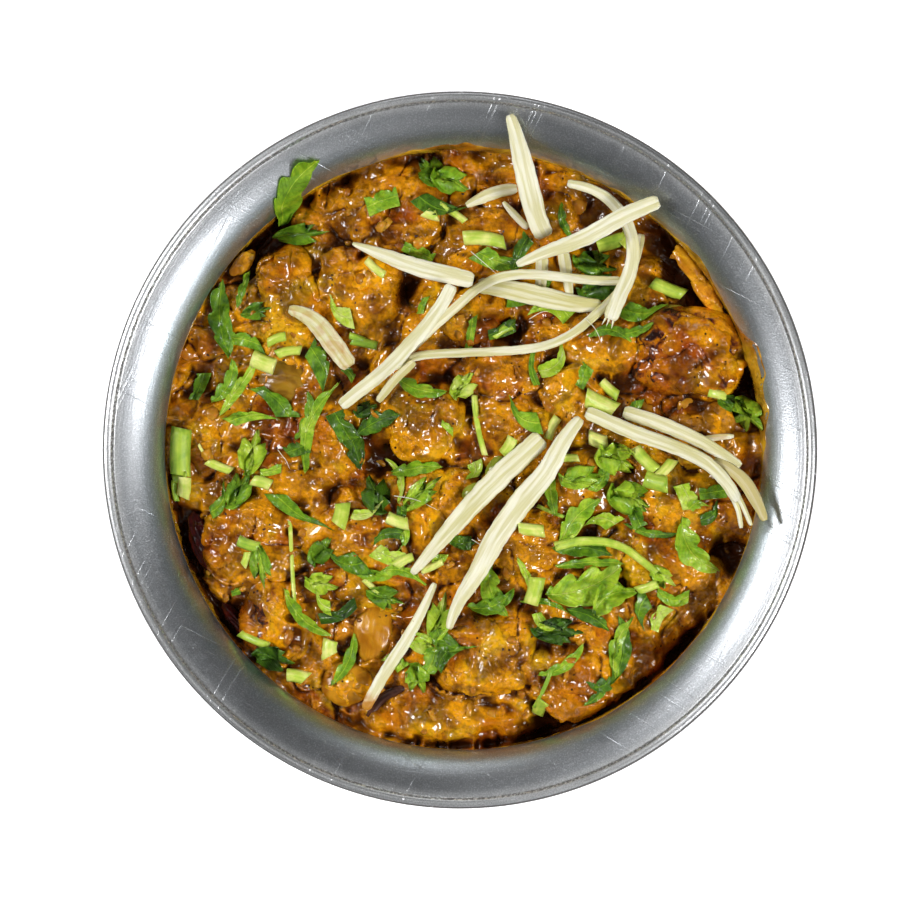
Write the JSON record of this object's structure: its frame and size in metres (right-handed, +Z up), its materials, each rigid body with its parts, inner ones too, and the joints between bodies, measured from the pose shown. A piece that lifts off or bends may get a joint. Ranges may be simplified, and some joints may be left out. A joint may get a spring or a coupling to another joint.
{
  "type": "mutton masala in a steel serving bowl",
  "caption": "Thick mutton curry in a round flared steel bowl, with pieces of meat and onion in a masala gravy under ginger julienne and chopped coriander.",
  "frame": {"origin": "centre of the bowl's flat underside, at the bottom of the whole dish", "axes": "+Z up out of the bowl; +X towards the side where two long ginger strips lean on the flare; +Y towards the side where one strip stands up the flare to the rim"},
  "size_m": [0.16, 0.16, 0.0644],
  "materials": {
    "steel": "satin",
    "masala": "gloss",
    "mutton": "gloss",
    "onion": "gloss",
    "crumb": "satin",
    "chilli": "gloss",
    "spice": "gloss",
    "ginger": "satin",
    "coriander": "satin",
    "oil": "gloss"
  },
  "bodies": {
    "root": {"bowl": "steel", "masala_gravy": "masala", "mutton_01": "mutton", "mutton_02": "mutton", "mutton_03": "mutton", "mutton_04": "mutton", "mutton_05": "mutton", "mutton_06": "mutton", "mutton_07": "mutton", "mutton_08": "mutton", "mutton_09": "mutton", "mutton_10": "mutton", "mutton_11": "mutton", "mutton_12": "mutton", "mutton_13": "mutton", "mutton_14": "mutton", "mutton_15": "mutton", "mutton_16": "mutton", "mutton_17": "mutton", "mutton_18": "mutton", "mutton_19": "mutton", "mutton_20": "mutton", "mutton_21": "mutton", "mutton_22": "mutton", "mutton_23": "mutton", "mutton_24": "mutton", "mutton_25": "mutton", "mutton_26": "mutton", "mutton_27": "mutton", "onion_01": "onion", "onion_02": "onion", "onion_03": "onion", "onion_04": "onion", "wall_crumb_01": "crumb", "wall_crumb_02": "crumb", "chilli_skin_01": "chilli", "chilli_skin_02": "chilli", "spice_stick": "spice", "ginger_01": "ginger", "ginger_02": "ginger", "ginger_03": "ginger", "ginger_04": "ginger", "ginger_05": "ginger", "ginger_06": "ginger", "ginger_07": "ginger", "ginger_08": "ginger", "ginger_09": "ginger", "ginger_10": "ginger", "ginger_11": "ginger", "ginger_12": "ginger", "ginger_13": "ginger", "ginger_14": "ginger", "ginger_15": "ginger", "ginger_16": "ginger", "ginger_17": "ginger", "ginger_18": "ginger", "ginger_19": "ginger", "ginger_20": "ginger", "ginger_21": "ginger"}
  },
  "joints": []
}
